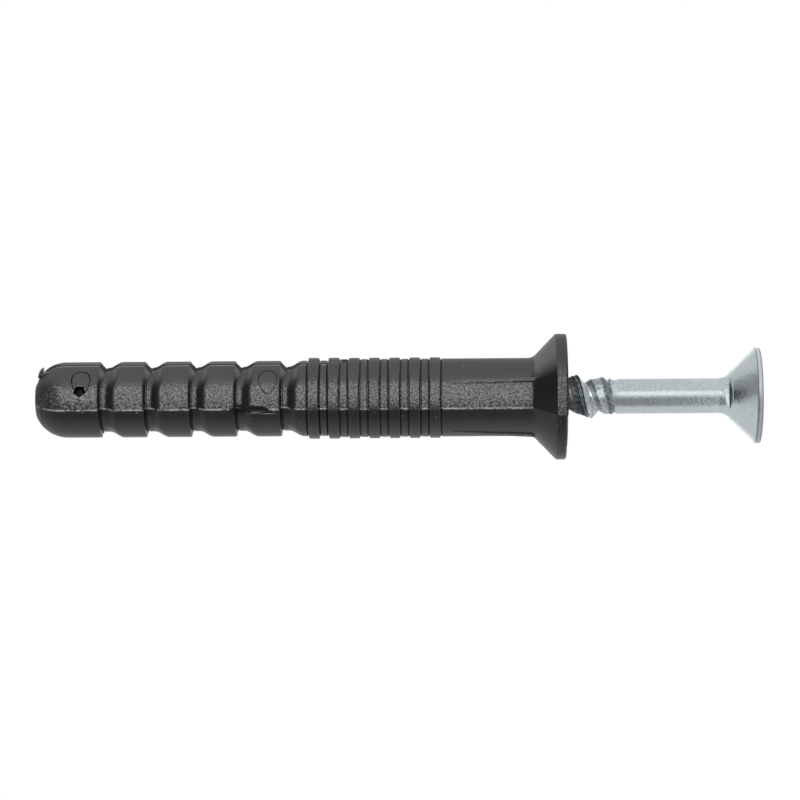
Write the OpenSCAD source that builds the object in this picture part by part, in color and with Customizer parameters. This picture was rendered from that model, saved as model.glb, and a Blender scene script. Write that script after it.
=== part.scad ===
// Hammer fixing plug, as supplied: a slotted plastic sleeve with its nail screw started in the bore.
// It stands on the screw head. Z runs along the axis towards the nose, X along the mould's pull.

/* [Sleeve] */
// Length of the sleeve from the flange face to the nose
sleeve_l = 40; // [35:0.5:60]
// Diameter of the smooth neck under the flange
neck_d = 5.9; // [5.8:0.05:6.2]
// Diameter of the barbed barrel
barrel_d = 5.68; // [5.4:0.02:5.9]
// Radius of the rounded nose
nose_r = 2.5; // [1:0.1:2.5]
// How far the flat tip cuts into that rounding
nose_flat = 0.2; // [0:0.05:0.4]

/* [Flange] */
// Diameter of the flange
flange_d = 9.5; // [8.8:0.1:12]
// Thickness of the flange's cylindrical rim
flange_rim = 0.83; // [0.5:0.01:1.5]
// Slope of the cone under the flange, from the axis
flange_slope = 46; // [35:1:60]
// Radius of the fillet between the cone and the neck
flange_fillet = 0.9; // [0.3:0.1:1.5]
// Rounding of the rim's two edges
flange_edge = 0.17; // [0.05:0.01:0.25]

/* [Anti-rotation ribs] */
// Number of ribs around the neck
rib_count = 4; // [2:2:8]
// Width of a rib
rib_w = 0.3; // [0.2:0.05:0.6]
// Height of a rib over the neck at the cone, from where it fades out
rib_h = 0.1; // [0.05:0.01:0.3]
// Length of a rib from the root of the cone
rib_l = 5.8; // [3:0.1:6.2]

/* [Grip rings] */
// Diameter over the rings, which is the drill size with a little press
ring_d = 6.1; // [6:0.05:6.4]
// Number of rings
ring_count = 7; // [4:1:8]
// Number of rings that the expansion slot cuts, from the nose side
ring_slotted = 2; // [1:1:3]
// Spacing of the rings
ring_pitch = 1.52; // [1.3:0.02:1.7]
// Width of a ring
ring_w = 0.91; // [0.6:0.01:1]
// Distance from the flange face to the first ring
ring_start = 9.45; // [9:0.05:12]
// Bevel of the ring edges
ring_edge = 0.06; // [0.02:0.01:0.1]

/* [Barbs] */
// Number of barb notches along the barrel
barb_count = 5; // [3:1:6]
// Spacing of the barbs
barb_pitch = 3.4; // [3:0.05:3.6]
// Distance from the nose tip back to the first shoulder
barb_start = 5; // [4.5:0.05:6]
// Depth of a notch
barb_depth = 0.45; // [0.2:0.01:0.55]
// Length of the steep shoulder, which faces the flange
barb_shoulder = 0.24; // [0.1:0.01:0.5]
// Length of the notch floor
barb_floor = 0.38; // [0.1:0.01:0.6]
// Length of the ramp that rises towards the flange
barb_ramp = 0.93; // [0.5:0.01:1.4]

/* [Ejector marks] */
// Diameter of the ejector pins that leave a mark on the barrel
mark_d = 1.4; // [1:0.1:1.6]
// Depth of a mark under the barrel's surface
mark_depth = 0.07; // [0.03:0.01:0.1]
// Distance of the pins from the middle of the slot
mark_offset = 1.87; // [1.6:0.01:1.95]

/* [Expansion slot] */
// Width of the slot between the two legs
slot_w = 1.05; // [0.6:0.05:1.6]

/* [Nail screw] */
// Length of the screw from the head face to the point
screw_l = 38; // [34:0.5:39]
// Distance from the flange face down to the head face, before the screw is driven
stand_out = 14.5; // [8:0.5:18]
// Diameter of the countersunk head
head_d = 7.2; // [6.5:0.1:7.6]
// Height of the head's cylindrical rim
head_rim = 0.36; // [0.2:0.02:0.6]
// Rounding of the head's two rim edges
head_edge = 0.08; // [0.03:0.01:0.1]
// Radius of the fillet between the head's cone and the shank
head_fillet = 1.2; // [0.4:0.1:1.6]
// Diameter of the plain shank
shank_d = 2.66; // [2.4:0.02:2.9]
// Distance from the head face to the start of the thread
shank_l = 10.55; // [8:0.05:14]

/* [Screw thread] */
// Diameter over the thread
thread_d = 3.3; // [3:0.05:3.5]
// Diameter at the root of the thread
thread_root_d = 2.2; // [1.9:0.05:2.35]
// Pitch of the right-handed thread
thread_pitch = 2.2; // [1.8:0.05:2.6]
// Axial run of the steep flank, which faces the head
thread_steep = 0.48; // [0.3:0.02:0.6]
// Width of the crest
thread_crest = 0.36; // [0.2:0.02:0.5]
// Drop of the crest towards the point
thread_drop = 0.1; // [0:0.01:0.15]
// Width of the root
thread_root = 0.14; // [0.1:0.02:0.3]
// Turn of the thread about the axis
thread_turn = -45; // [-180:1:180]
// Number of turns over which the thread grows out of the shank
thread_run_turns = 0.9; // [0.5:0.1:1.5]
// Length of the tapered point
point_l = 4; // [2:0.1:6]

/* [Drive recess] */
// Diameter of the cross recess at the head face
recess_d = 4; // [3:0.1:4.6]
// Depth of the cross recess
recess_depth = 1.9; // [1.2:0.05:2.2]
// Width of the recess wings
recess_w = 0.95; // [0.6:0.05:1.2]
// Slope of the recess walls, from the axis
recess_slope = 32; // [26:1:34]

/* [Fits] */
// Radial clearance between the thread and the bore
bore_clear = 0.15; // [0.1:0.01:0.3]
// Radial clearance between the head and its seat in the flange
seat_clear = 0.1; // [0.05:0.01:0.2]
// Distance from the driven point to the end of the bore
point_clear = 0.5; // [0.3:0.1:1]

/* [Hidden] */
$fn = 96;
cut = 0.5;
head_slope = 45;
arc_steps = 8;
turn_steps = 24;
thread_skin = 0.015;

neck_r = neck_d / 2;
barrel_r = barrel_d / 2;
flange_r = flange_d / 2;
ring_r = ring_d / 2;
head_r = head_d / 2;
shank_r = shank_d / 2;
crest_r = thread_d / 2;
root_r = thread_root_d / 2;

bore_r = crest_r + bore_clear;
bore_end = screw_l + point_clear;
seat_r = head_r + seat_clear;
seat_end = head_rim + (seat_r - bore_r) / tan(head_slope);
cone_end = fillet_centre(flange_r, flange_rim, neck_r, flange_fillet, flange_slope)[1];
ring_end = ring_start + (ring_count - 1) * ring_pitch + ring_w;
barb_l = barb_shoulder + barb_floor + barb_ramp;
nose_mark_z = sleeve_l - (barb_start + nose_r - nose_flat) / 2;
land_mark_z = sleeve_l - barb_start - (barb_count - 1) * barb_pitch + (barb_pitch - barb_l) / 2;
slot_root = ring_end - ring_slotted * ring_pitch + slot_w / 2;

// Points on an arc about a centre, between two angles
function arc(centre, r, from, to) =
    [for (i = [0:arc_steps]) let (a = from + (to - from) * i / arc_steps) centre + r * [cos(a), sin(a)]];

// Centre of the fillet between a cone that starts at (r0, z0) and narrows at a slope, and a cylinder
function fillet_centre(r0, z0, cylinder_r, fillet, slope) =
    [cylinder_r + fillet, z0 + (fillet / cos(slope) - cylinder_r - fillet + r0) / tan(slope)];

// Points on that fillet, from the cone to the cylinder
function cone_fillet(r0, z0, cylinder_r, fillet, slope) =
    arc(fillet_centre(r0, z0, cylinder_r, fillet, slope), fillet, 180 + slope, 180);

// A disc's rim with two rounded edges: face edge, then the edge where a cone starts
function rounded_rim(r, h, edge, slope) = concat(
    arc([r - edge, edge], edge, -90, 0),
    arc([r - edge, h - edge * tan(slope / 2)], edge, 0, slope)
);

function ring_floor(i) = i < ring_count - ring_slotted ? neck_r : barrel_r;

// One grip ring, with the floor beyond it
function ring_points(i) =
    let (z = ring_start + i * ring_pitch)
    [
        [ring_floor(i - 1), z],
        [ring_r - ring_edge, z],
        [ring_r, z + ring_edge],
        [ring_r, z + ring_w - ring_edge],
        [ring_r - ring_edge, z + ring_w],
        [ring_floor(i), z + ring_w],
    ];

// One barb notch, from the ramp to the shoulder that faces the flange
function barb_points(i) =
    let (z = sleeve_l - barb_start - i * barb_pitch)
    [
        [barrel_r, z - barb_l],
        [barrel_r - barb_depth, z - barb_shoulder - barb_floor],
        [barrel_r - barb_depth, z - barb_shoulder],
        [barrel_r, z],
    ];

sleeve_outline = concat(
    [[0, 0]],
    rounded_rim(flange_r, flange_rim, flange_edge, flange_slope),
    cone_fillet(flange_r, flange_rim, neck_r, flange_fillet, flange_slope),
    [for (i = [0:ring_count - 1]) each ring_points(i)],
    [for (i = [barb_count - 1:-1:0]) each barb_points(i)],
    arc([barrel_r - nose_r, sleeve_l + nose_flat - nose_r], nose_r, 0, asin(1 - nose_flat / nose_r)),
    [[0, sleeve_l]]
);

bore_outline = [
    [0, -cut],
    [seat_r, -cut],
    [seat_r, head_rim],
    [bore_r, seat_end],
    [bore_r, bore_end - bore_r],
    [0, bore_end],
];

screw_outline = concat(
    [[0, 0]],
    rounded_rim(head_r, head_rim, head_edge, head_slope),
    cone_fillet(head_r, head_rim, shank_r, head_fillet, head_slope),
    [
        [shank_r, shank_l],
        [root_r - bore_clear, shank_l + shank_r - root_r + bore_clear],
        [0, shank_l + shank_r - root_r + bore_clear],
    ]
);

// Thread: height and radius of the corners of one pitch, from the root towards the point
thread_corners = [
    [0, root_r],
    [thread_root, root_r],
    [thread_root + thread_steep, crest_r],
    [thread_root + thread_steep + thread_crest, crest_r - thread_drop],
];
corner_count = len(thread_corners);
thread_z = shank_l - thread_pitch;
thread_steps = floor((screw_l - thread_z - thread_pitch) / thread_pitch * turn_steps);

// The first turn is as thick as the shank, and the thread grows out of it after that
function thread_growth(step) = max(0, min(1, (step / turn_steps - 1) / thread_run_turns));

// The thread narrows along the point
function point_taper(z) = 1 - pow(max(0, (z - screw_l + point_l) / point_l), 1.7);

function thread_point(step, corner) =
    let (
        a = 360 * step / turn_steps,
        z = thread_z + thread_pitch * step / turn_steps + thread_corners[corner][0],
        start_r = shank_r - thread_skin,
        grown_r = start_r + (thread_corners[corner][1] - start_r) * thread_growth(step),
        r = grown_r * point_taper(z)
    )
    [r * cos(a), r * sin(a), z];

function thread_index(step, corner) = step * corner_count + corner;

// The next corner of the helical strip: past the last corner it is the first one, a turn on
function next_index(step, corner) =
    corner < corner_count - 1 ? thread_index(step, corner + 1) : thread_index(step + turn_steps, 0);

module screw_thread() {
    points = [for (s = [0:thread_steps]) for (c = [0:corner_count - 1]) thread_point(s, c)];
    start = len(points);
    end = start + 1;
    last_turn = thread_steps - turn_steps;
    strip = [
        for (s = [0:thread_steps - 1])
            for (c = [0:corner_count - 1])
                if (c < corner_count - 1 || s < last_turn)
                    let (a = thread_index(s, c), b = thread_index(s + 1, c))
                        let (d = next_index(s, c), e = next_index(s + 1, c))
                            each [[a, d, e], [a, e, b]]
    ];
    start_loop = concat(
        [for (s = [turn_steps:-1:0]) thread_index(s, 0)],
        [for (c = [1:corner_count - 1]) thread_index(0, c)],
        [thread_index(turn_steps, 0)]
    );
    end_loop = concat(
        [for (s = [last_turn:thread_steps]) thread_index(s, corner_count - 1)],
        [for (c = [corner_count - 2:-1:0]) thread_index(thread_steps, c)],
        [thread_index(last_turn, corner_count - 1)]
    );
    caps = concat(
        [for (i = [0:len(start_loop) - 2]) [start, start_loop[i + 1], start_loop[i]]],
        [for (i = [0:len(end_loop) - 2]) [end, end_loop[i + 1], end_loop[i]]]
    );
    rotate([0, 0, thread_turn])
        polyhedron(concat(points, [[0, 0, thread_z - cut], [0, 0, screw_l]]), concat(strip, caps));
}

// Cross recess: two crossed wings inside a cone
module drive_recess() {
    intersection() {
        translate([0, 0, -cut])
            cylinder(
                h = recess_depth + cut,
                r1 = recess_d / 2 + cut * tan(recess_slope),
                r2 = recess_d / 2 - recess_depth * tan(recess_slope)
            );
        for (a = [0, 90])
            rotate([0, 0, a])
                translate([-head_r, -recess_w / 2, -2 * cut])
                    cube([head_d, recess_w, recess_depth + 4 * cut]);
    }
}

module neck_ribs() {
    for (i = [0:rib_count - 1])
        rotate([0, 0, (i + 0.5) * 360 / rib_count])
            translate([neck_r, rib_w / 2, cone_end])
                rotate([90, 0, 0])
                    linear_extrude(rib_w)
                        polygon([
                            [-rib_h, -flange_fillet],
                            [rib_h, -flange_fillet],
                            [rib_h, 0],
                            [-rib_h / 5, rib_l],
                            [-rib_h, rib_l],
                        ]);
}

// Dents of two ejector pins, which follow the barrel's curve, on one mould half
module ejector_marks() {
    for (z = [nose_mark_z, land_mark_z])
        difference() {
            translate([0, -mark_offset, z])
                rotate([0, 90, 0])
                    cylinder(h = ring_d, d = mark_d);
            translate([0, 0, z - mark_d])
                cylinder(h = 2 * mark_d, r = barrel_r - mark_depth);
        }
}

module expansion_slot() {
    translate([-ring_d, -slot_w / 2, slot_root])
        cube([2 * ring_d, slot_w, sleeve_l]);
    translate([-ring_d, 0, slot_root])
        rotate([0, 90, 0])
            cylinder(h = 2 * ring_d, d = slot_w);
}

module sleeve() {
    color("#2b2a29")
        translate([0, 0, stand_out])
            difference() {
                union() {
                    rotate_extrude()
                        polygon(sleeve_outline);
                    neck_ribs();
                }
                rotate_extrude()
                    polygon(bore_outline);
                expansion_slot();
                ejector_marks();
            }
}

module nail_screw() {
    color("#c4ccd2")
        difference() {
            union() {
                rotate_extrude()
                    polygon(screw_outline);
                screw_thread();
            }
            drive_recess();
        }
}

sleeve();
nail_screw();
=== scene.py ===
"""Hammer fixing plug: a black moulded sleeve with its zinc-plated nail screw started in the bore."""
import math
import random
from types import SimpleNamespace

import bpy
from mathutils import Matrix, Vector


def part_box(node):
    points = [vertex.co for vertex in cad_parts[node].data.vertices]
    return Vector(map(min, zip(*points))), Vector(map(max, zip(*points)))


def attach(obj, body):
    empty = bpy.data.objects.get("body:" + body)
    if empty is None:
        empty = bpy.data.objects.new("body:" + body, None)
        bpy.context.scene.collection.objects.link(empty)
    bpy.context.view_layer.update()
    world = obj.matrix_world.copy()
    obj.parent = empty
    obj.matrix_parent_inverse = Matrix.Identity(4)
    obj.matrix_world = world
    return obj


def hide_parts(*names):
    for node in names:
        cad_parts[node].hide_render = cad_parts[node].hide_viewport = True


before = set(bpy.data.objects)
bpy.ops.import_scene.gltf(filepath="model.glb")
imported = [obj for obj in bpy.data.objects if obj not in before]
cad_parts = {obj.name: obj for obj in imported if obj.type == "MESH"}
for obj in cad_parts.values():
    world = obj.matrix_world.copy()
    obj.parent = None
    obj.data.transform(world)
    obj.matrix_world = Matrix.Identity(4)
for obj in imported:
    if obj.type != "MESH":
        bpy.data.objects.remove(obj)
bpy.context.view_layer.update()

# Pieces are shaped in millimetres and brought to metres at the end.
MM = 0.001
sleeve_low, sleeve_high = (Vector(corner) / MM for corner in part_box("sleeve"))
_, screw_high = (Vector(corner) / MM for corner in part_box("nail_screw"))

FACE = sleeve_low.z                      # flange face over the floor
SLEEVE_L = sleeve_high.z - FACE
TIP = FACE + SLEEVE_L
FLANGE_R = sleeve_high.y
HEAD_R = screw_high.y
SCREW_L = screw_high.z

# Sleeve: heights are along the axis from the flange face, angles in degrees
NECK_R = 2.95
BARREL_R = 2.84
RING_R = 3.05
SKIN_R = 2.1                             # all that shows from outside lies past this radius
NOSE_R = 2.5
NOSE_FLAT = 0.2
FLANGE_RIM = 0.83
FLANGE_EDGE = 0.17
CONE_SLOPE = 46
CONE_FILLET = 0.9
RINGS = 7
RINGS_SLOTTED = 2
RING_START = 9.45
RING_PITCH = 1.52
RING_W = 0.91
RING_EDGE = 0.12
RING_CREASE = 0.08
BARBS = 5
BARB_START = 5.0                         # first shoulder, from the tip
BARB_PITCH = 3.4
BARB_DEPTH = 0.45
BARB_FOOT = 1.58                         # start of the ramp, before the shoulder
BARB_RAMP = 1.1
BARB_CREASE = 0.05
BARB_SKEW = 0.3
RIBS = ((49, 0.16), (311, -0.16), (219, 0.55), (141, -0.55))    # place and lean
NEAR_RIB = RIBS[1]
RIB_START = 1.9
RIB_END = 8.6
RIB_W = 0.22
RIB_DEPTH = 0.6
RIB_SUNK = 0.12                          # middle of the rib below the neck's skin
RIB_DROP = 0.17
SLOT_W = 1.05
SLOT_LIP = 0.035
SLOT_ROOT = RING_START + (RINGS - 1 - RINGS_SLOTTED) * RING_PITCH + RING_W + SLOT_W / 2
BORE_R = 1.8
BORE_END = 38.5
SEAT_R = 3.7
SEAT_RIM = 0.36
SEAT_EDGE = 0.08
SEAT_END = SEAT_RIM + SEAT_R - BORE_R
FLASH = 0.03
MISMATCH = 0.04                          # between the mould halves, across the axis
FACE_STEP = 0.08                         # between the mould halves, on the flange face
GATE_SCAR = (0.38, 0.22, 1.7)            # half sizes, as the lip's and the stub's
GATE_LIP = (0.05, 0.08, 1.3)
GATE_STUB = (0.12, 0.14, 0.24)
GATE_Z = 23.8
GATE_LIP_Z = GATE_Z - 0.9
GATE_STUB_Z = GATE_Z - 1.85
EJECTORS = ((36.4, 0.14), (22.4, 0.07))  # height, and depth of the groove round the dent
EJECTOR_R = 0.72
EJECTOR_DENT = 0.03
EJECTOR_AT = (2.2, -1.87)
PIT_Z = EJECTORS[0][0] + 0.08
PIT_TURN = -59.5
# length, width, reach from the axis, distance back from the tip and lean
NOSE_SHARDS = ((0.48, 0.16, 2.3, 0.46, 26), (0.36, 0.15, 2.2, 0.68, 62))

# Screw: heights are along the axis from the head face
SHANK_R = 1.33
SHANK_END = 10.55
SHANK_FILLET = 1.2
HEAD_RIM = 0.36
HEAD_EDGE = 0.05
HEAD_SLOPE = 45
COLLAR_R = 1.86
GRIP_L = 0.8
GRIP_W = 1.85
GRIP_Z = 2.68
RECESS_L = 4.0
RECESS_W = 0.9
RECESS_END = 1.9
RECESS_TAPER = 1.2
CREST_R = 1.65
ROOT_R = 1.0
PITCH = 2.2
THREAD_TURN = -45
THREAD_START = 0.9                       # in turns, from the lower end of the helix
THREAD_RUN = 1.1                         # turns in which the groove grows
RIDGE_RUN = 0.5                          # turns in which the ridge grows
POINT_L = 4.0
POINT_CURVE = 1.7

# Mesh: steps round the axis, longest outline stretch, weld distance and the angle of a sharp edge
SLEEVE_STEPS, SCREW_STEPS, HELIX_STEPS = 192, 128, 64
STRETCH = 0.4
WELD_GAP = 0.0005
SHARP = math.radians(32)

# Photo's camera, in metres: it looks across the axis, with the nose at the left of the image
AZIMUTH = math.radians(17)
UP = Vector((math.cos(AZIMUTH), math.sin(AZIMUTH), 0))
TOWARDS = Vector((math.sin(AZIMUTH), -math.cos(AZIMUTH), 0))
DISTANCE = 0.23
SIDE = 0.0042
VIEW_W = 0.0604
CENTRE_Z = 0.02706
ROLL = math.radians(0.4)
DROP = 0.00016
LAMP_DISTANCE = 0.5
FLOOR_W = 0.08
FLOOR_GAP = 0.00003


def select_only(*pieces):
    bpy.ops.object.select_all(action="DESELECT")
    for piece in pieces:
        piece.select_set(True)
    bpy.context.view_layer.objects.active = pieces[0]


def edit(piece, by="VERT"):
    select_only(piece)
    bpy.ops.object.mode_set(mode="EDIT")
    bpy.context.tool_settings.mesh_select_mode = (by == "VERT", by == "EDGE", False)


def leave():
    bpy.ops.object.mode_set(mode="OBJECT")


def pick(piece, test):
    """Open a piece with the vertices that pass a test selected."""
    edit(piece)
    bpy.ops.mesh.select_all(action="DESELECT")
    leave()
    for vertex in piece.data.vertices:
        vertex.select = bool(test(vertex.co))
    edit(piece)


def shift(piece, test, offset):
    pick(piece, test)
    bpy.ops.transform.translate(value=offset)
    leave()


def stretch(piece, test, factors):
    pick(piece, test)
    bpy.ops.transform.resize(value=factors)
    leave()


def arc(centre, radius, start, stop, steps=6):
    """Points on an arc in the profile plane, with the angles in degrees."""
    angles = [math.radians(start + (stop - start) * i / steps) for i in range(steps + 1)]
    return [(centre[0] + radius * math.cos(a), centre[1] + radius * math.sin(a)) for a in angles]


def cone_to_cylinder(r0, z0, radius, fillet, slope, steps=8):
    """Fillet between a cone that narrows from (r0, z0) and a cylinder."""
    s = math.radians(slope)
    centre = (radius + fillet, z0 + (fillet / math.cos(s) - radius - fillet + r0) / math.tan(s))
    return arc(centre, fillet, 180 + slope, 180, steps)


def divide(points, reach):
    """Points added on the outer stretches that are longer than a reach."""
    divided = points[:1]
    for (r0, z0), (r1, z1) in zip(points, points[1:]):
        outer = min(r0, r1) > BORE_R + 0.1
        pieces = math.ceil(math.hypot(r1 - r0, z1 - z0) / reach) if outer else 1
        divided += [(r0 + (r1 - r0) * i / pieces, z0 + (z1 - z0) * i / pieces) for i in range(1, pieces + 1)]
    return divided


def draw_profile(name, points):
    """One vertex, extruded along the points (radius, height)."""
    bpy.ops.object.select_all(action="DESELECT")
    bpy.ops.mesh.primitive_plane_add(size=1)
    piece = bpy.context.object
    piece.name = piece.data.name = name
    edit(piece)
    bpy.ops.mesh.select_all(action="SELECT")
    bpy.ops.mesh.merge(type="CENTER")
    bpy.ops.transform.translate(value=(points[0][0], 0, points[0][1]))
    for (r0, z0), (r1, z1) in zip(points, points[1:]):
        bpy.ops.mesh.extrude_vertices_move(TRANSFORM_OT_translate={"value": (r1 - r0, 0, z1 - z0)})
    leave()
    return piece


def close_up():
    bpy.ops.mesh.select_all(action="SELECT")
    bpy.ops.mesh.remove_doubles(threshold=WELD_GAP)
    bpy.ops.mesh.normals_make_consistent(inside=False)
    leave()


def spin(name, points, steps):
    piece = draw_profile(name, points)
    edit(piece)
    bpy.ops.mesh.select_all(action="SELECT")
    bpy.ops.mesh.spin(steps=steps, angle=2 * math.pi, center=(0, 0, 0), axis=(0, 0, 1))
    close_up()
    return piece


def combine(piece, tool, operation):
    select_only(piece)
    boolean = piece.modifiers.new("combine", "BOOLEAN")
    boolean.object = tool
    boolean.operation = operation
    boolean.solver = "EXACT"
    bpy.ops.object.modifier_apply(modifier=boolean.name)
    select_only(tool)
    bpy.ops.object.delete()


def cut(piece, tool):
    combine(piece, tool, "DIFFERENCE")


def weld(piece, tool):
    combine(piece, tool, "UNION")


def place(piece, turn=0, offset=(0, 0, 0), lean=0):
    """Lean a piece about Y, turn it about Z in degrees and move it, all applied."""
    select_only(piece)
    piece.rotation_euler = (0, math.radians(lean), math.radians(turn))
    piece.location = offset
    bpy.ops.object.transform_apply()


def block(name, size, centre, bevel=0.0):
    bpy.ops.object.select_all(action="DESELECT")
    bpy.ops.mesh.primitive_cube_add(size=1, location=centre, scale=size)
    piece = bpy.context.object
    piece.name = piece.data.name = name
    bpy.ops.object.transform_apply()
    if bevel:
        edit(piece)
        bpy.ops.mesh.select_all(action="SELECT")
        bpy.ops.mesh.bevel(offset=bevel, segments=3, affect="EDGES")
        leave()
    return piece


def rod(name, radius, length, centre, sides=48):
    bpy.ops.object.select_all(action="DESELECT")
    bpy.ops.mesh.primitive_cylinder_add(vertices=sides, radius=radius, depth=length, location=centre)
    piece = bpy.context.object
    piece.name = piece.data.name = name
    bpy.ops.object.transform_apply()
    return piece


def lump(name, half_sizes, centre=(0, 0, 0)):
    bpy.ops.object.select_all(action="DESELECT")
    bpy.ops.mesh.primitive_ico_sphere_add(subdivisions=4, radius=1, scale=half_sizes)
    piece = bpy.context.object
    piece.name = piece.data.name = name
    bpy.ops.object.transform_apply()
    place(piece, 0, centre)
    return piece


def around(angle, radius, height):
    return (radius * math.cos(math.radians(angle)), radius * math.sin(math.radians(angle)), height)


def ring_floor(index):
    return NECK_R if index < RINGS - RINGS_SLOTTED else BARREL_R


def ring_points(index):
    """A grip ring with a narrow crease at each foot."""
    low = FACE + RING_START + index * RING_PITCH
    high = low + RING_W
    before, after = ring_floor(index - 1), ring_floor(index)
    crease, edge = RING_CREASE, RING_EDGE
    return [
        (before, low - crease),
        (before - 0.8 * crease, low - 0.4 * crease),
        (before - 0.8 * crease, low + 0.3 * crease),
        *arc((RING_R - edge, low + 0.5 * crease + edge), edge, -75, 0, 3),
        *arc((RING_R - edge, high - 0.5 * crease - edge), edge, 0, 75, 3),
        (after - 0.8 * crease, high - 0.3 * crease),
        (after - 0.8 * crease, high + 0.4 * crease),
        (after, high + crease),
    ]


def barb_top(index):
    """Height of a barb's shoulder, counted from the nose."""
    return FACE + SLEEVE_L - BARB_START - index * BARB_PITCH


def barb_points(index):
    """A barb notch, from the ramp to the shoulder that faces the flange."""
    top, floor, steps = barb_top(index), BARREL_R - BARB_DEPTH, 9
    ramp = [(floor + BARB_DEPTH * (1 + math.cos(math.pi * i / steps)) / 2,
             top - BARB_FOOT + BARB_RAMP * i / steps) for i in range(steps + 1)]
    return [
        *ramp,
        (floor, top - 0.12),
        (floor - BARB_CREASE, top - 0.08),
        (floor - BARB_CREASE, top + 0.02),
        (BARREL_R - 0.12, top + 0.08),
        (BARREL_R - 0.04, top + 0.11),
        (BARREL_R, top + 0.18),
    ]


def smooth_step(value, low, high):
    share = max(0.0, min(1.0, (value - low) / (high - low)))
    return share * share * (3 - 2 * share)


def barb_shift(co):
    """Barbs are wider beside the upper slot, where the shoulder slopes, than at the parting line."""
    reach = co.xy.length
    if not SKIN_R < reach < BARREL_R + 0.001:
        return 0.0
    for index in range(BARBS):
        height = co.z - barb_top(index)
        if -0.13 < height < 0.03 and reach < BARREL_R - 0.2:
            return -BARB_SKEW * smooth_step(co.x / reach, 0.75, 0.97)
        if -BARB_FOOT - 0.005 < height < BARB_RAMP - BARB_FOOT + 0.01:
            return BARB_SKEW * (1 - smooth_step(abs(co.x) / reach, 0.5, 0.92))
    return 0.0


def sleeve_outline():
    """Half section of the sleeve, from the end of the bore round the flange to the tip."""
    edge = FLANGE_EDGE
    bend = math.tan(math.radians(CONE_SLOPE / 2))
    outline = [
        (0, FACE + BORE_END),
        (BORE_R, FACE + BORE_END - BORE_R),
        (BORE_R, FACE + SEAT_END),
        (SEAT_R, FACE + SEAT_RIM),
        *arc((SEAT_R + SEAT_EDGE, FACE + SEAT_EDGE), SEAT_EDGE, 180, 270, 3),
        *arc((FLANGE_R - edge, FACE + edge), edge, -90, 0, 6),
        *arc((FLANGE_R - edge, FACE + FLANGE_RIM - edge * bend), edge, 0, CONE_SLOPE, 4),
        *cone_to_cylinder(FLANGE_R, FACE + FLANGE_RIM, NECK_R, CONE_FILLET, CONE_SLOPE),
    ]
    for index in range(RINGS):
        outline += ring_points(index)
    for index in reversed(range(BARBS)):
        outline += barb_points(index)
    nose_end = math.degrees(math.asin(1 - NOSE_FLAT / NOSE_R))
    outline += arc((BARREL_R - NOSE_R, TIP + NOSE_FLAT - NOSE_R), NOSE_R, 0, nose_end, 16)
    return [*outline, (0, TIP)]


def part_mould_halves(sleeve):
    """The mould halves meet on the YZ plane: the lower one is off by a hair, and flash stands out."""
    def outside(co):
        in_seat = co.z < FACE + SEAT_END + 0.04 and co.xy.length < SEAT_R + 0.01
        return co.x ** 2 + co.y ** 2 > SKIN_R ** 2 and not in_seat

    def on_lower_face(co):
        return co.x < -0.001 and co.z < FACE + 0.3 and co.xy.length > SEAT_R + 0.2

    shift(sleeve, lambda co: co.x < -0.001 and outside(co), (0, MISMATCH, 0))
    shift(sleeve, on_lower_face, (0, 0, FACE_STEP))
    ragged = random.Random(5)
    for vertex in sleeve.data.vertices:
        if abs(vertex.co.x) < 0.001 and outside(vertex.co) and abs(vertex.co.y) < RING_R - 0.02:
            vertex.co.y += math.copysign(FLASH * ragged.uniform(0.3, 2.0), vertex.co.y)


def neck_rib(turn, lean):
    """An anti-rotation rib that grows in height towards the flange, and leans away from the parting line."""
    low, high = FACE + RIB_START, FACE + RIB_END
    rib = block("neck_rib", (RIB_DEPTH, RIB_W, high - low), (NECK_R - RIB_SUNK, 0, (low + high) / 2))
    shift(rib, lambda co: co.x > NECK_R and co.z > high - 0.1, (-RIB_DROP, 0, 0))
    shift(rib, lambda co: co.z > high - 0.1, (0, lean / 2, 0))
    shift(rib, lambda co: co.z < low + 0.1, (0, -lean / 2, 0))
    place(rib, turn)
    return rib


def expansion_slot():
    """A slot right through the barrel, with a round root."""
    length, foot = SLEEVE_L + 2, FACE + SLOT_ROOT - SLOT_W / 2
    slot = block("slot", (4 * RING_R, SLOT_W, length), (0, 0, foot + length / 2))
    edit(slot, "EDGE")
    bpy.ops.mesh.select_all(action="DESELECT")
    leave()
    for e in slot.data.edges:
        ends = [slot.data.vertices[i].co for i in e.vertices]
        e.select = all(co.z < foot + 0.01 for co in ends) and abs(ends[0].y - ends[1].y) < 0.01
    edit(slot, "EDGE")
    bpy.ops.mesh.bevel(offset=SLOT_W / 2 - 0.001, segments=10, affect="EDGES")
    leave()
    return slot


def raise_slot_lips(sleeve):
    for side in (-1, 1):
        def on_edge(co):
            at_wall = abs(abs(co.y) - SLOT_W / 2) < 0.001
            return co.x * side > SKIN_R and at_wall and co.z > FACE + SLOT_ROOT
        shift(sleeve, on_edge, (side * SLOT_LIP, 0, 0))


def ejector_mark(height, radius, depth):
    """The dent of an ejector pin, which follows the barrel's curve a little below it."""
    pin = rod("ejector_pin", radius, 4, (0, 0, 0))
    place(pin, 0, (*EJECTOR_AT, FACE + height), 90)
    core = rod("ejector_core", BARREL_R - depth, 4, (0, 0, FACE + height), SLEEVE_STEPS)
    cut(pin, core)
    return pin


def ejector_groove(height, depth):
    groove = ejector_mark(height, EJECTOR_R + 0.01, depth)
    cut(groove, ejector_mark(height, EJECTOR_R - 0.07, 0.5))
    return groove


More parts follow.
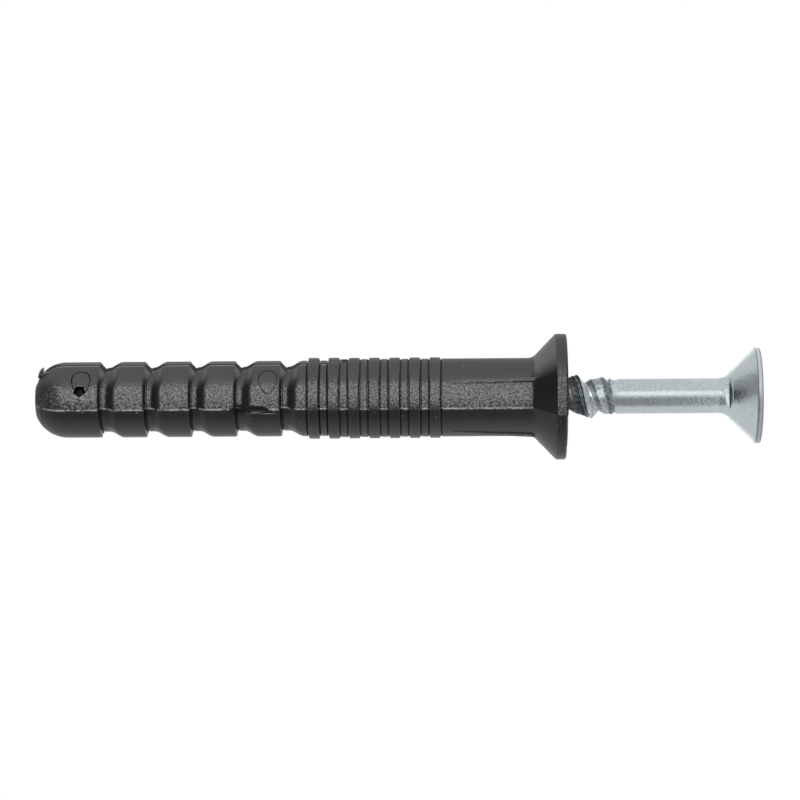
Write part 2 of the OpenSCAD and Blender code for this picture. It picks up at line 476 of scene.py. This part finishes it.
def ejector_pit():
    """A house-shaped hole beside the first ejector's dent, with its gable towards the parting line."""
    pit = rod("ejector_pit", 0.5, 1.4, (0, 0, 0), 5)
    shift(pit, lambda co: co.z < 0, (0, 0, 0.1))
    stretch(pit, lambda co: co.z < 0, (0.45, 0.45, 1))
    stretch(pit, lambda co: True, (1.45, 1.4, 1))
    place(pit, 180)
    place(pit, 0, (0, 0, 0), 90)
    place(pit, PIT_TURN, around(PIT_TURN, BARREL_R + 0.05, FACE + PIT_Z))
    return pit


def leave_gate_marks(sleeve):
    """The scar where the runner was torn off, with the lip and the stub that stayed."""
    cut(sleeve, lump("gate_scar", GATE_SCAR, around(-90, BARREL_R + 0.09, FACE + GATE_Z)))
    weld(sleeve, lump("gate_lip", GATE_LIP, around(-96, BARREL_R - 0.02, FACE + GATE_LIP_Z)))
    weld(sleeve, lump("gate_stub", GATE_STUB, around(-90, BARREL_R - 0.04, FACE + GATE_STUB_Z)))


def nose_shard(length, width, reach, back, lean):
    """A sliver of plastic on the near edge of the slot, a little back from the tip."""
    shard = lump("nose_shard", (length, 0.1, width))
    place(shard, 0, (reach, -SLOT_W / 2 + 0.03, TIP - back), lean)
    return shard


def model_sleeve():
    sleeve = spin("moulded_sleeve", divide(sleeve_outline(), STRETCH), SLEEVE_STEPS)
    for vertex in sleeve.data.vertices:
        vertex.co.z += barb_shift(vertex.co)
    part_mould_halves(sleeve)
    for turn, lean in RIBS:
        weld(sleeve, neck_rib(turn, lean))
    cut(sleeve, expansion_slot())
    raise_slot_lips(sleeve)
    for height, groove_depth in EJECTORS:
        cut(sleeve, ejector_mark(height, EJECTOR_R, EJECTOR_DENT))
        cut(sleeve, ejector_groove(height, groove_depth))
    cut(sleeve, ejector_pit())
    leave_gate_marks(sleeve)
    for shard in NOSE_SHARDS:
        weld(sleeve, nose_shard(*shard))
    return sleeve


def screw_outline():
    """Half section of the head and shank, with a bead between the cone and the fillet."""
    edge, collar_z = HEAD_EDGE, HEAD_RIM + HEAD_R - COLLAR_R
    bend = math.tan(math.radians(HEAD_SLOPE / 2))
    return [
        (0, 0),
        *arc((HEAD_R - edge, edge), edge, -90, 0, 5),
        *arc((HEAD_R - edge, HEAD_RIM - edge * bend), edge, 0, HEAD_SLOPE, 4),
        (COLLAR_R, collar_z),
        (COLLAR_R + 0.02, collar_z + 0.05),
        (COLLAR_R - 0.06, collar_z + 0.13),
        (COLLAR_R - 0.12, collar_z + 0.16),
        *cone_to_cylinder(HEAD_R, HEAD_RIM, SHANK_R, SHANK_FILLET, HEAD_SLOPE)[2:],
        (SHANK_R, SHANK_END),
        (0, SHANK_END),
    ]


def thread_point(co, low):
    """Let the thread grow out of the shank, and taper it to the point."""
    skin = SHANK_R - 0.004
    r = math.hypot(co.x, co.y)
    t = (math.atan2(co.y, co.x) / (2 * math.pi)) % 1.0
    turn = math.floor((co.z - low) / PITCH - t + 1e-4) + t
    run = RIDGE_RUN if r > skin else THREAD_RUN
    r = skin + (r - skin) * max(0.0, min(1.0, (turn - THREAD_START) / run))
    r *= 1 - max(0.0, (co.z - SCREW_L + POINT_L) / POINT_L) ** POINT_CURVE
    return r * math.cos(2 * math.pi * t), r * math.sin(2 * math.pi * t), co.z


def draw_together(strip, test, centre):
    """Close an open end of the thread in one point on the axis."""
    edit(strip)
    bpy.ops.mesh.select_all(action="DESELECT")
    bpy.ops.mesh.select_non_manifold(extend=False, use_wire=False, use_multi_face=False,
                                     use_non_contiguous=False, use_verts=False)
    leave()
    for vertex in strip.data.vertices:
        vertex.select = vertex.select and test(vertex.co.z)
    edit(strip)
    bpy.ops.mesh.extrude_edges_move()
    bpy.ops.mesh.merge(type="CENTER")
    leave()
    for vertex in strip.data.vertices:
        if vertex.select:
            vertex.co = centre


def thread():
    """A coarse buttress thread that grows out of the shank, with the rolling seam along its crest."""
    low = SHANK_END - PITCH
    corners = [(ROOT_R, 0), (ROOT_R, 0.14), (CREST_R - 0.03, 0.58), (CREST_R, 0.63), (CREST_R - 0.03, 0.68),
               (CREST_R - 0.12, 0.74), (CREST_R - 0.13, 0.82), (CREST_R - 0.08, 0.88), (CREST_R - 0.08, 0.93),
               (CREST_R - 0.15, 1.0), (1.36, 1.4), (1.22, 1.8), (ROOT_R, PITCH)]
    turns = int((SCREW_L - low) / PITCH) - 1
    strip = draw_profile("screw_thread", [(r, low + z) for r, z in corners])
    helix = strip.modifiers.new("helix", "SCREW")
    helix.axis = "Z"
    helix.angle = 2 * math.pi
    helix.screw_offset = PITCH
    helix.iterations = turns
    helix.steps = helix.render_steps = HELIX_STEPS
    helix.use_merge_vertices = True
    helix.merge_threshold = WELD_GAP
    select_only(strip)
    bpy.ops.object.modifier_apply(modifier=helix.name)
    edit(strip)
    close_up()
    for vertex in strip.data.vertices:
        vertex.co = thread_point(vertex.co, low)
    draw_together(strip, lambda z: z < SHANK_END + 1, (0, 0, low - 0.5))
    draw_together(strip, lambda z: z > low + turns * PITCH - 3, (0, 0, SCREW_L))
    edit(strip)
    close_up()
    place(strip, THREAD_TURN)
    return strip


def thread_start():
    """A tilted groove round the shank's end, where the rolling dies took hold."""
    groove = spin("thread_start", [(1.2, 0), (1.6, 0.42), (1.6, -0.2), (1.2, 0)], HELIX_STEPS)
    place(groove, math.degrees(AZIMUTH), (0, 0, SHANK_END + 0.6), -10)
    return groove


def die_grip():
    """The notch of the heading die under the head."""
    grip = block("die_grip", (GRIP_L, GRIP_W, GRIP_L), (SHANK_R + 0.02 + GRIP_L / 2, 0, GRIP_Z), 0.03)
    place(grip, math.degrees(math.atan2(TOWARDS.y, TOWARDS.x)))
    return grip


def recess_wing(turn):
    """One bar of the cross recess, narrower at its end."""
    wing = block("recess_wing", (RECESS_L, RECESS_W, RECESS_L), (0, 0, RECESS_END - RECESS_L / 2))
    shift(wing, lambda co: co.z > 1 and co.x > 0, (-RECESS_TAPER, 0, 0))
    shift(wing, lambda co: co.z > 1 and co.x < 0, (RECESS_TAPER, 0, 0))
    place(wing, turn)
    return wing


def model_screw():
    screw = spin("zinc_nail_screw", screw_outline(), SCREW_STEPS)
    weld(screw, thread())
    cut(screw, thread_start())
    cut(screw, die_grip())
    for turn in (0, 90):
        cut(screw, recess_wing(turn))
    return screw


class Wire:
    """A shader socket that takes part in sums."""

    def __init__(self, finish, socket):
        self.finish, self.socket = finish, socket

    def sum(self, operation, *values):
        return self.finish.node("ShaderNodeMath", {"operation": operation},
                                **{str(i): v for i, v in enumerate(values)})

    def __add__(self, other): return self.sum("ADD", self, other)
    def __radd__(self, other): return self.sum("ADD", other, self)
    def __sub__(self, other): return self.sum("SUBTRACT", self, other)
    def __rsub__(self, other): return self.sum("SUBTRACT", other, self)
    def __mul__(self, other): return self.sum("MULTIPLY", self, other)
    def __rmul__(self, other): return self.sum("MULTIPLY", other, self)
    def __truediv__(self, other): return self.sum("DIVIDE", self, other)
    def __rtruediv__(self, other): return self.sum("DIVIDE", other, self)
    def __pow__(self, other): return self.sum("POWER", self, other)
    def __abs__(self): return self.sum("ABSOLUTE", self)

    def ramp(self, low, high):
        """0 below low, 1 above high, smooth between."""
        return self.finish.node("ShaderNodeMapRange", {"interpolation_type": "SMOOTHSTEP", "clamp": True},
                                **{"0": self, "1": low, "2": high, "3": 0.0, "4": 1.0})

    def below(self, low, high):
        """1 below low, 0 above high, smooth between."""
        return 1.0 - self.ramp(low, high)

    def band(self, middle, inner, outer):
        """1 within inner of the middle, 0 past outer, smooth between."""
        return abs(self - middle).below(inner, outer)


class Finish:
    """The node tree of a material or of the world."""

    def __init__(self, owner):
        owner.use_nodes = True
        self.tree = owner.node_tree
        self.tree.nodes.clear()

    def node(self, kind, settings=None, output=0, **inputs):
        node = self.tree.nodes.new(kind)
        for key, value in (settings or {}).items():
            setattr(node, key, value)
        for key, value in inputs.items():
            socket = node.inputs[int(key) if key.isdigit() else key.replace("_", " ")]
            if isinstance(value, Wire):
                self.tree.links.new(value.socket, socket)
            else:
                socket.default_value = value
        return Wire(self, node.outputs[output]) if node.outputs else None

    def place(self):
        """Object coordinates, whole and as x, y and z in millimetres."""
        spot = self.node("ShaderNodeTexCoord", {}, "Object")
        parts = (self.node("ShaderNodeSeparateXYZ", {}, axis, Vector=spot) / MM for axis in range(3))
        return (spot, *parts)

    def noise(self, position, scale, detail, roughness):
        return self.node("ShaderNodeTexNoise", {}, "Fac", Vector=position, Scale=scale, Detail=detail,
                         Roughness=roughness)

    def blend(self, factor, first, second):
        return self.node("ShaderNodeMix", {"data_type": "RGBA"}, 2, **{"0": factor, "6": first, "7": second})

    def mix(self, factor, first, second):
        return self.node("ShaderNodeMixShader", {}, 0, **{"0": factor, "1": first, "2": second})


def gate_masks(x, y, height):
    """The gate's scar, the lip beside it and the stub at its end: the scar gets painted shade, the lip a
    painted highlight and the stub a painted glint.
    """
    near = y.below(-2.0, -1.9)
    scar = ((x + 0.05) / 0.36) ** 2.0 + ((height - GATE_Z) / 1.6) ** 2.0
    stub = ((x - 0.02) / 0.14) ** 2.0 + ((height - GATE_STUB_Z) / 0.27) ** 2.0
    lip = x.band(-0.3, 0.03, 0.06) * height.band(GATE_LIP_Z, 1.0, 1.3)
    return scar.below(0.8, 1.05) * near, lip * near, stub.below(0.7, 1.0) * near


def slot_masks(x, y, height, radius):
    """The upper slot's edges, for a painted highlight, its walls, and their part below the skin, for painted
    shade.
    """
    slotted = height.ramp(SLOT_ROOT - 0.2, SLOT_ROOT + 0.1) * radius.ramp(SKIN_R, SKIN_R + 0.1)
    slotted = slotted * x.ramp(0.0, 0.1)
    edge = slotted * abs(y).band(SLOT_W / 2, 0.03, 0.06)
    wall = slotted * abs(y).below(SLOT_W / 2 + 0.005, SLOT_W / 2 + 0.02)
    top = BARREL_R
    for index in range(RINGS - RINGS_SLOTTED, RINGS):
        middle = RING_START + index * RING_PITCH + RING_W / 2
        top = top + (RING_R - BARREL_R) * height.band(middle, RING_W / 2 - 0.08, RING_W / 2 - 0.02)
    return edge, wall, wall * (x - top).below(-0.27, -0.19)


def rib_mask(x, y, height):
    """The upper edge of the rib that faces the camera, where a painted highlight goes."""
    turn, lean = math.radians(NEAR_RIB[0]), NEAR_RIB[1]
    across = y * math.cos(turn) - x * math.sin(turn)
    across = across - lean * ((height - RIB_START) / (RIB_END - RIB_START) - 0.5)
    along = height.ramp(RIB_START, RIB_START + 0.4) * height.below(RIB_END - 1.2, RIB_END)
    return across.band(0.13, 0.02, 0.06) * along * x.ramp(0.0, 0.1) * y.below(-1.0, -0.9)


def sleeve_masks(finish, spot, x, y, z):
    """Where each of the plastic's finishes, each mark of the mould and each painted highlight and shade lies.
    """
    normal = finish.node("ShaderNodeTexCoord", {}, "Normal")
    height = z - FACE
    slope = abs(finish.node("ShaderNodeSeparateXYZ", {}, 2, Vector=normal))
    radius = (x * x + y * y) ** 0.5
    crown = abs(x) / radius
    scar, lip, stub = gate_masks(x, y, height)
    slot_edge, slot_wall, slot_depth = slot_masks(x, y, height, radius)
    # The ejector pit's floor, painted black as shade further down.
    pit = height.band(PIT_Z, 0.7, 0.72) * y.below(-1.2, -1.1) * x.ramp(0.0, 0.1)
    pit = pit * radius.below(BARREL_R - 0.14, BARREL_R - 0.06)
    # A painted glint along the flash bead just above the parting line.
    bead = x.band(0.03, 0.05, 0.09) * radius.below(RING_R - 0.06, RING_R - 0.02) * (1.0 - scar)
    bead = bead * finish.noise(spot, 2400.0, 2.0, 0.7).ramp(0.42, 0.56)

    # The upper half is grained, but for its crown, the slopes and the rings next to the parting line; the
    # grain's specks are painted glints that show only in the band the spot's highlight falls on, and the
    # slopes are polished and get painted shade.
    above_line = x.ramp(-0.02, 0.02)
    nose = height.ramp(SLEEVE_L - 3.2, SLEEVE_L - 2.0)
    rings_end = RING_START + RINGS * RING_PITCH - 0.5
    ringed = height.ramp(RING_START - 0.3, RING_START - 0.2) * height.below(rings_end, rings_end + 0.1)
    ring_fade = ringed * radius.ramp(RING_R - 0.06, RING_R - 0.02) * x.below(0.05, 0.6)
    # Polished slopes and the gate scar: a real smooth finish, which further down is also mixed half towards
    # black as painted shade.
    slick = above_line * (slope - 0.34 * ringed).ramp(0.16, 0.5) * crown.below(0.6, 0.9) * (1.0 - 0.45 * nose)
    slick = slick + scar * (1.0 - slick)
    upper = above_line * (1.0 - slick) * (1.0 - 0.75 * ring_fade)
    lit_slope = upper * slope.ramp(0.45, 0.65) * (1.0 - nose) * (1.0 - 0.7 * ringed)
    return SimpleNamespace(
        upper=upper, slick=slick, lit_slope=lit_slope,
        grained=upper * (1.0 - crown.ramp(0.56, 0.76) * (1.0 - lit_slope)),
        lower_crown=crown.ramp(0.1, 1.0) * (1.0 - above_line),
        coarse=height.ramp(SLEEVE_L - BARB_START, SLEEVE_L - BARB_START + 1.0),
        slot_edge=slot_edge, slot_wall=slot_wall, slot_depth=slot_depth,
        thin_edge=lip + rib_mask(x, y, height), pit=pit, flash=bead + stub)


def black_plastic():
    """Black moulding with a spark-eroded grain on the upper mould half, and polished on the lower one, with
    painted glints, highlights and shade laid over it.
    """
    material = bpy.data.materials.new("black_plastic")
    finish = Finish(material)
    spot, x, y, z = finish.place()
    on = sleeve_masks(finish, spot, x, y, z)
    fine, coarse = finish.noise(spot, 8000.0, 2.0, 0.6), finish.noise(spot, 5000.0, 2.0, 0.65)
    grain = fine + (coarse - fine - 0.05) * on.coarse
    cloud = finish.noise(spot, 420.0, 3.0, 0.55)
    dust = finish.noise(spot, 3300.0, 1.0, 0.5).ramp(0.74, 0.8)

    polished = finish.blend(cloud, (0.0052, 0.0049, 0.0046, 1), (0.0094, 0.0089, 0.0083, 1))
    # Painted light from the floor: the lower half is lighter towards its bottom.
    polished = finish.blend(on.lower_crown, polished, (0.046, 0.0443, 0.0426, 1))
    worn = finish.blend(cloud, (0.027, 0.0258, 0.0246, 1), (0.043, 0.0412, 0.0394, 1))
    # Painted glints: the grain's specks, light where the spot's highlight falls and dark between.
    glinting_grain = finish.blend(grain.ramp(0.39, 0.63), (0.005, 0.0048, 0.0046, 1), (0.118, 0.114, 0.1105, 1))
    # Painted highlights on the slot's near edge, the gate lip and the rib's upper edge, with real dust
    # specks.
    highlights_and_dust = on.slot_edge * 0.7 + on.thin_edge * 0.5 + dust * 0.7
    colour = finish.blend(on.upper, polished, worn)
    colour = finish.blend(on.slot_wall, colour, (0.06, 0.058, 0.056, 1))
    # Painted shade on the slot's walls below the skin.
    colour = finish.blend(on.slot_depth, colour, (0.003, 0.0029, 0.0028, 1))
    colour = finish.blend(on.grained * (1.0 - on.slot_wall), colour, glinting_grain)
    colour = finish.blend(on.lit_slope * 0.6, colour, (0.12, 0.117, 0.113, 1))
    colour = finish.blend(highlights_and_dust, colour, (0.15, 0.146, 0.141, 1))
    # Painted glints on the flash bead and the gate's stub.
    colour = finish.blend(on.flash, colour, (0.22, 0.215, 0.208, 1))
    rough = 0.38 + 0.08 * on.upper + on.grained * 0.3 * (grain - 0.5) + 0.12 * (cloud - 0.5)
    bump = finish.node("ShaderNodeBump", {}, 0, Strength=1.0, Distance=0.00007,
                       Height=grain * (0.05 + 0.95 * on.grained))
    plastic = finish.node("ShaderNodeBsdfPrincipled", {}, 0, Base_Color=colour, Roughness=rough, Normal=bump)

    # Painted shade: the plastic is mixed towards black in creases found by ambient occlusion, in the ejector
    # pit, deep in the slot and by half on the polished slopes.
    unshaded_share = finish.node("ShaderNodeAmbientOcclusion", {"only_local": True, "samples": 8}, "AO",
                           Distance=0.0003).ramp(0.42, 0.78)
    unshaded_share = unshaded_share * (1.0 - 0.92 * on.pit) * (1.0 - 0.6 * on.slot_depth) * (1.0 - 0.5 * on.slick)
    painted_shade_black = finish.node("ShaderNodeBsdfDiffuse", {}, 0, Color=(0.003, 0.003, 0.003, 1))
    finish.node("ShaderNodeOutputMaterial", Surface=finish.mix(unshaded_share, painted_shade_black, plastic))
    return material


def zinc_plate():
    """Bright zinc plate, drawn smooth on the shank and mottled on the rolled thread."""
    material = bpy.data.materials.new("zinc_plate")
    finish = Finish(material)
    spot, x, y, z = finish.place()
    above, front = x * UP.x + y * UP.y, x * TOWARDS.x + y * TOWARDS.y
    lift = above / (x * x + y * y) ** 0.5
    mottle = finish.noise(spot, 4400.0, 3.0, 0.6)
    cloud = finish.noise(spot, 500.0, 3.0, 0.5)

    # The thread is rougher in its first groove and on the flank next to the sleeve, and both get painted
    # shade: the groove's shadow, and on the flank a painted dark reflection of the black flange.
    rolled = z.ramp(SHANK_END + 0.2, SHANK_END + 0.7)
    flank = (z - 0.33 * lift).band(SHANK_END + 3.13, 0.36, 0.5)
    groove = (z - 0.32 * lift).band(SHANK_END + 0.9, 0.08, 0.26)
    dull_and_shaded = 0.9 * flank + 0.7 * groove
    grip = z.band(GRIP_Z - GRIP_L / 2 + 0.03, 0.03, 0.07)
    grip = grip * abs(above).below(GRIP_W / 2 - 0.075, GRIP_W / 2 + 0.045) * front.ramp(0.0, 0.3)
    rim = (x * x + y * y).ramp((HEAD_R - 0.15) ** 2, (HEAD_R - 0.05) ** 2)

    drawn = finish.blend(mottle.ramp(0.35, 0.65), (0.64, 0.718, 0.744, 1), (0.73, 0.805, 0.834, 1))
    patchy = finish.blend(mottle.ramp(0.4, 0.6), (0.4, 0.45, 0.47, 1), (0.72, 0.775, 0.805, 1))
    # Painted shade for the first groove and the flank next to the sleeve.
    scale = finish.blend(mottle.ramp(0.35, 0.65), (0.07, 0.08, 0.087, 1), (0.25, 0.28, 0.295, 1))
    colour = finish.blend(rolled, drawn, patchy)
    colour = finish.blend(dull_and_shaded, colour, scale)
    # Painted shade: the head's rim is darker but for its upper side, where the lamp's highlight falls.
    colour = finish.blend(0.85 * rim * above.below(-0.6, 0.9), colour, (0.37, 0.41, 0.425, 1))
    colour = finish.blend(0.7 * rim * z.band(HEAD_RIM, 0.02, 0.06), colour, (0.18, 0.19, 0.195, 1))
    colour = finish.blend(0.75 * rim * z.below(0.06, 0.16), colour, (0.3, 0.27, 0.25, 1))
    # Painted shade along the die notch's end towards the head, on its near side.
    colour = finish.blend(grip, colour, (0.1, 0.11, 0.115, 1))
    rough = 0.2 + 0.26 * rolled + 0.2 * dull_and_shaded + 0.14 * (mottle - 0.5) + 0.08 * (cloud - 0.5)
    bump = finish.node("ShaderNodeBump", {}, 0, Strength=0.4, Distance=0.00003, Height=mottle)
    metal = finish.node("ShaderNodeBsdfPrincipled", {}, 0, Base_Color=colour, Metallic=1.0, Roughness=rough,
                        Normal=bump)
    finish.node("ShaderNodeOutputMaterial", Surface=metal)
    return material


def finish_piece(piece, body, material):
    select_only(piece)
    piece.scale = (MM, MM, MM)
    bpy.ops.object.transform_apply()
    piece.data.materials.clear()
    piece.data.materials.append(material)
    bpy.ops.object.shade_smooth_by_angle(angle=SHARP)
    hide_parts(body)
    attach(piece, body)


def add_camera():
    data = bpy.data.cameras.new("camera")
    data.lens = data.sensor_width * DISTANCE / VIEW_W
    camera = bpy.data.objects.new("camera", data)
    bpy.context.scene.collection.objects.link(camera)
    back = (TOWARDS * DISTANCE + Vector((0, 0, -SIDE))).normalized()
    across = UP.cross(back)
    right = across * math.cos(ROLL) - UP * math.sin(ROLL)
    up = across * math.sin(ROLL) + UP * math.cos(ROLL)
    eye = Vector((0, 0, CENTRE_Z)) - up * DROP + back * DISTANCE
    camera.matrix_world = Matrix((
        (right.x, up.x, back.x, eye.x),
        (right.y, up.y, back.y, eye.y),
        (right.z, up.z, back.z, eye.z),
        (0, 0, 0, 1)))
    bpy.context.scene.camera = camera


def hang_lamp(data, height, lift):
    """Put a lamp on the camera's side, a share of its distance higher, and aim it at a height on the axis."""
    lamp = bpy.data.objects.new(data.name, data)
    bpy.context.scene.collection.objects.link(lamp)
    direction = (TOWARDS + UP * lift).normalized()
    lamp.location = Vector((0, 0, height)) + direction * LAMP_DISTANCE
    lamp.rotation_euler = direction.to_track_quat("Z", "Y").to_euler()


def add_window():
    """A broad soft lamp a little over the camera."""
    data = bpy.data.lights.new("window", "AREA")
    data.shape = "DISK"
    data.size = 0.24
    data.energy = 0.068
    hang_lamp(data, CENTRE_Z, 0.34)


def add_sleeve_spot():
    """A spot over the camera that takes in the sleeve and leaves the bright screw to the room's light."""
    data = bpy.data.lights.new("sleeve_spot", "SPOT")
    data.energy = 9.5
    data.shadow_soft_size = 0.003
    data.spot_size = math.radians(4.8)
    data.spot_blend = 0.05
    hang_lamp(data, (FACE + SLEEVE_L / 2 + 0.15) * MM, 0.3)


def light_room():
    """An even bright room: a white backdrop, a darker side below the camera, a dark corner past the nose."""
    world = bpy.context.scene.world or bpy.data.worlds.new("room")
    bpy.context.scene.world = world
    finish = Finish(world)
    seen = finish.node("ShaderNodeLightPath", {}, "Is Camera Ray")
    direction = finish.node("ShaderNodeTexCoord", {}, "Generated")

    def along(axis):
        return finish.node("ShaderNodeVectorMath", {"operation": "DOT_PRODUCT"}, "Value",
                           **{"0": direction, "1": tuple(axis)})
    front, above, nosewards = along(TOWARDS), along(UP), along(Vector((0, 0, 1)))
    gloom = above.below(-0.25, 0.0) * front.ramp(0.2, 0.5)
    corner = nosewards.ramp(0.5, 0.85) * above.ramp(-0.08, 0.06) * above.below(0.47, 0.58)
    level = 0.66 - 0.38 * gloom - 0.34 * corner
    level = level + (1.0 - level) * front.ramp(-0.75, -0.98)
    level = level + (1.0 - level) * seen
    shader = finish.node("ShaderNodeBackground", {}, 0, Color=(1, 1, 1, 1), Strength=level)
    finish.node("ShaderNodeOutputWorld", Surface=shader)


def add_floor():
    """A white sheet a hair under the head, which can be looked through from below."""
    bpy.ops.object.select_all(action="DESELECT")
    bpy.ops.mesh.primitive_plane_add(size=FLOOR_W, location=(0, 0, -FLOOR_GAP))
    bpy.ops.object.transform_apply()
    floor = bpy.context.object
    floor.name = floor.data.name = "floor"
    material = bpy.data.materials.new("white_floor")
    finish = Finish(material)
    seen = finish.node("ShaderNodeLightPath", {}, "Is Camera Ray")
    seen = seen + 0.6 * finish.node("ShaderNodeLightPath", {}, "Is Glossy Ray")
    paper = finish.node("ShaderNodeBsdfDiffuse", {}, 0, Color=(0.9, 0.9, 0.9, 1))
    glow = finish.node("ShaderNodeEmission", {}, 0, Color=(1, 1, 1, 1), Strength=1.12)
    under = finish.node("ShaderNodeNewGeometry", {}, "Backfacing")
    clear = finish.node("ShaderNodeBsdfTransparent")
    sheet = finish.mix(under, finish.mix(seen * 0.85, paper, glow), clear)
    finish.node("ShaderNodeOutputMaterial", Surface=sheet)
    floor.data.materials.append(material)


finish_piece(model_sleeve(), "sleeve", black_plastic())
finish_piece(model_screw(), "nail_screw", zinc_plate())
add_floor()
light_room()
add_window()
add_sleeve_spot()
add_camera()
bpy.context.scene.view_settings.view_transform = "Standard"
